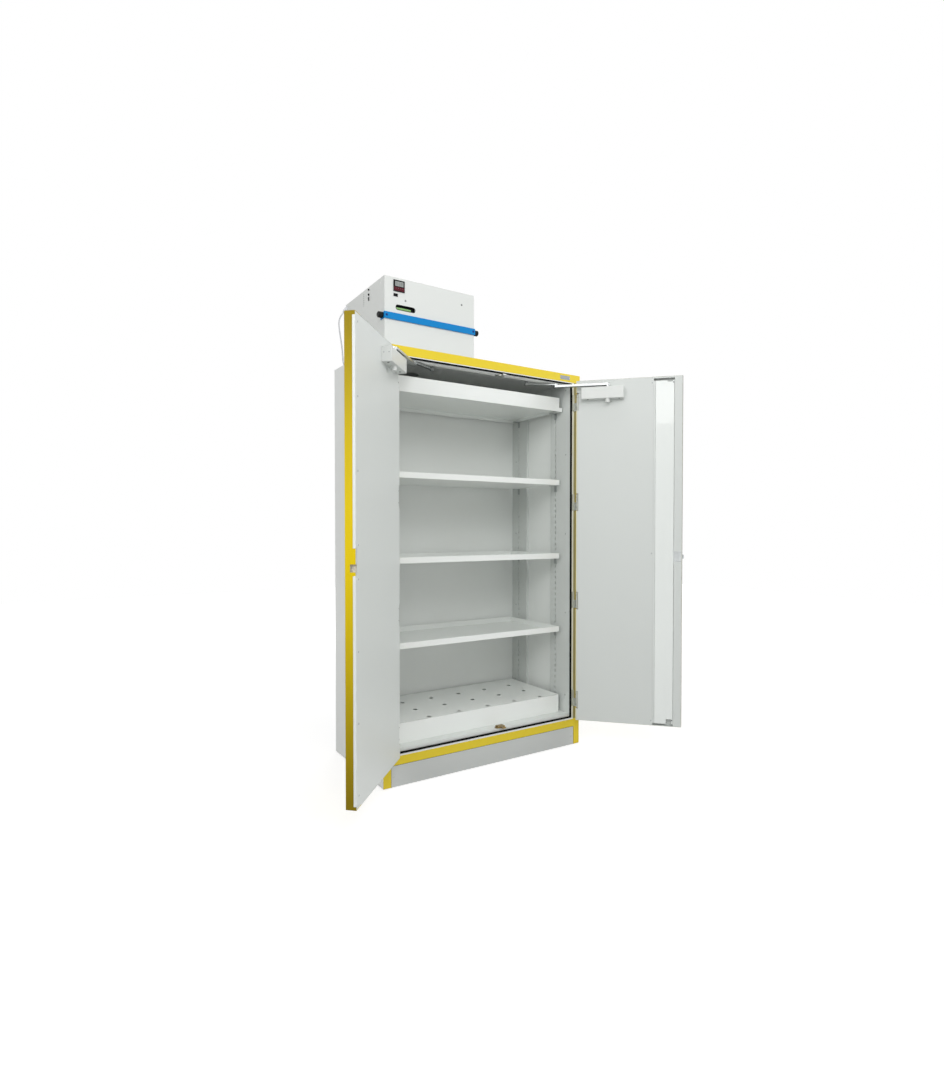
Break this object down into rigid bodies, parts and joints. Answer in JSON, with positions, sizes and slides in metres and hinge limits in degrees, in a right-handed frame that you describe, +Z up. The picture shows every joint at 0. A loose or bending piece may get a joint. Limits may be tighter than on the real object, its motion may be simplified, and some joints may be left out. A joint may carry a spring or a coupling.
{
  "type": "flammable safety cabinet",
  "caption": "Tall two-door fire-resistant storage cabinet, doors open, with tray shelves, a floor sump and a filter unit on its roof.",
  "frame": {"origin": "centre of the carcass footprint on the floor", "axes": "+Z up; +Y from the doors to the back; +X to the right as one faces the doors"},
  "size_m": [1.8009, 1.013, 2.286],
  "materials": {
    "yellow_paint": "semi-gloss powder coat",
    "grey_paint": "satin powder coat",
    "liner_paint": "satin powder coat",
    "tray_paint": "satin powder coat",
    "cover_paint": "gloss powder coat",
    "unit_paint": "fine textured powder coat",
    "blue_paint": "gloss powder coat",
    "fire_board": "light pressed mineral board, about as heavy as wood",
    "seal_rubber": "matt",
    "zinc_steel": "zinc plated",
    "keeper_brass": "satin",
    "aluminium": "satin",
    "black_plastic": "fine textured",
    "filter_media": "pleated",
    "lead_sheath": "smooth"
  },
  "bodies": {
    "carcass": {"side_panels": "grey_paint", "back_panel": "grey_paint", "roof_panel": "grey_paint", "base_pan": "grey_paint", "carcass_insulation": "fire_board", "liner_walls": "liner_paint", "liner_ceiling": "liner_paint", "liner_floor": "liner_paint", "front_frame": "yellow_paint", "door_gasket": "seal_rubber", "plinth_panel": "grey_paint", "levelling_feet": "black_plastic", "shelf_uprights": "liner_paint", "shelf_clips": "zinc_steel", "rod_keepers": "keeper_brass", "hinge_frame_leaves": "zinc_steel", "closer_brackets": "zinc_steel", "filter_lower_housing": "unit_paint", "filter_upper_housing": "unit_paint", "clamp_bar": "blue_paint", "filter_cassette": "filter_media", "fan_motor": "aluminium", "controller": "black_plastic", "cord_gland": "lead_sheath", "power_cord": "lead_sheath", "cord_coil": "lead_sheath", "power_plug": "lead_sheath"},
    "left_door": {"left_door_skin": "yellow_paint", "left_door_core": "fire_board", "left_door_inner_panel": "liner_paint", "left_door_edge_trim": "tray_paint", "left_hinge_leaves": "zinc_steel", "left_closer_body": "cover_paint"},
    "right_door": {"right_door_skin": "yellow_paint", "right_door_core": "fire_board", "right_door_inner_panel": "liner_paint", "lock_cover": "cover_paint", "right_hinge_leaves": "zinc_steel", "right_closer_body": "cover_paint", "lock_case": "zinc_steel"},
    "handle": {"door_handle": "black_plastic"},
    "key": {"key_cylinder": "aluminium"},
    "bolt": {"latch_bolt": "zinc_steel"},
    "upper_rod": {"upper_lock_rod": "zinc_steel"},
    "lower_rod": {"lower_lock_rod": "zinc_steel"},
    "left_arm": {"left_closer_arm": "zinc_steel"},
    "left_link": {"left_closer_rod": "zinc_steel"},
    "right_arm": {"right_closer_arm": "zinc_steel"},
    "right_link": {"right_closer_rod": "zinc_steel"},
    "impeller": {"fan_impeller": "aluminium"},
    "left_knob": {"left_clamp_knob": "black_plastic"},
    "right_knob": {"right_clamp_knob": "black_plastic"},
    "rocker": {"rocker_switch": "black_plastic"},
    "upper_shelf_body": {"upper_shelf": "tray_paint"},
    "middle_shelf_body": {"middle_shelf": "tray_paint"},
    "lower_shelf_body": {"lower_shelf": "tray_paint"},
    "top_shelf_body": {"top_shelf": "tray_paint", "top_tray": "tray_paint"},
    "sump": {"sump_tray": "tray_paint"},
    "insert": {"perforated_insert": "tray_paint"}
  },
  "joints": [
    {"name": "left_door_swing", "type": "hinge", "parent": "carcass", "child": "left_door", "pos_m": [-0.5287, -0.3179, 1.03], "axis": [0, 0, 1], "range_deg": [0, 133]},
    {"name": "right_door_swing", "type": "hinge", "parent": "carcass", "child": "right_door", "pos_m": [0.5287, -0.3179, 1.03], "axis": [0, 0, -1], "range_deg": [0, 133]},
    {"name": "left_arm_turn", "type": "hinge", "parent": "left_door", "child": "left_arm", "pos_m": [-0.6002, -0.46481, 1.885], "axis": [0, 0, -1], "range_deg": [0, 127.68]},
    {"name": "right_arm_turn", "type": "hinge", "parent": "right_door", "child": "right_arm", "pos_m": [0.6002, -0.46481, 1.885], "axis": [0, 0, 1], "range_deg": [0, 127.68]},
    {"name": "left_link_turn", "type": "hinge", "parent": "carcass", "child": "left_link", "pos_m": [-0.278, -0.205, 1.893], "axis": [0, 0, -1], "range_deg": [0, 145.96]},
    {"name": "right_link_turn", "type": "hinge", "parent": "carcass", "child": "right_link", "pos_m": [0.278, -0.205, 1.893], "axis": [0, 0, 1], "range_deg": [0, 145.96]},
    {"name": "handle_turn", "type": "hinge", "parent": "right_door", "child": "handle", "pos_m": [0.85677, -0.64464, 1.007], "axis": [0.7314, 0.682, 0], "range_deg": [0, 90]},
    {"name": "upper_rod_slide", "type": "slide", "parent": "right_door", "child": "upper_rod", "axis": [0, 0, 1], "range_m": [0, 0.01502]},
    {"name": "lower_rod_slide", "type": "slide", "parent": "right_door", "child": "lower_rod", "axis": [0, 0, -1], "range_m": [0, 0.01502]},
    {"name": "latch_bolt_slide", "type": "slide", "parent": "right_door", "child": "bolt", "axis": [-0.682, 0.7314, 0], "range_m": [0, 0.009], "stiffness_N_per_m": 300},
    {"name": "key_turn", "type": "hinge", "parent": "right_door", "child": "key", "pos_m": [0.85677, -0.64464, 0.933], "axis": [0.7314, 0.682, 0], "range_deg": [0, 90]},
    {"name": "impeller_spin", "type": "hinge", "parent": "carcass", "child": "impeller", "pos_m": [-0.279, 0.0315, 2.18], "axis": [0, 0, 1], "continuous": true},
    {"name": "left_knob_turn", "type": "hinge", "parent": "carcass", "child": "left_knob", "pos_m": [-0.518, -0.188, 2.109], "axis": [-1, 0, 0], "continuous": true},
    {"name": "right_knob_turn", "type": "hinge", "parent": "carcass", "child": "right_knob", "pos_m": [-0.04, -0.188, 2.109], "axis": [1, 0, 0], "continuous": true},
    {"name": "rocker_tip", "type": "hinge", "parent": "carcass", "child": "rocker", "pos_m": [-0.4625, -0.196, 2.207], "axis": [0, 0, -1], "range_deg": [0, 16]},
    {"name": "upper_shelf_lift", "type": "slide", "parent": "carcass", "child": "upper_shelf_body", "axis": [0, 0, 1], "range_m": [0, 0.025]},
    {"name": "middle_shelf_lift", "type": "slide", "parent": "carcass", "child": "middle_shelf_body", "axis": [0, 0, 1], "range_m": [0, 0.025]},
    {"name": "lower_shelf_lift", "type": "slide", "parent": "carcass", "child": "lower_shelf_body", "axis": [0, 0, 1], "range_m": [0, 0.025]},
    {"name": "top_shelf_lift", "type": "slide", "parent": "carcass", "child": "top_shelf_body", "axis": [0, 0, 1], "range_m": [0, 0.025]},
    {"name": "sump_lift", "type": "slide", "parent": "carcass", "child": "sump", "axis": [0, 0, 1], "range_m": [0, 0.025]},
    {"name": "insert_lift", "type": "slide", "parent": "sump", "child": "insert", "axis": [0, 0, 1], "range_m": [0, 0.06]}
  ],
  "couplings": [
    {"joint": "left_arm_turn", "follows": "left_door_swing", "ratio": 0.95622},
    {"joint": "right_arm_turn", "follows": "right_door_swing", "ratio": 0.95622},
    {"joint": "left_link_turn", "follows": "left_door_swing", "ratio": 1.0937},
    {"joint": "right_link_turn", "follows": "right_door_swing", "ratio": 1.0937},
    {"joint": "upper_rod_slide", "follows": "handle_turn", "m_per_rad": 0.0095493},
    {"joint": "lower_rod_slide", "follows": "handle_turn", "m_per_rad": 0.0095493}
  ]
}
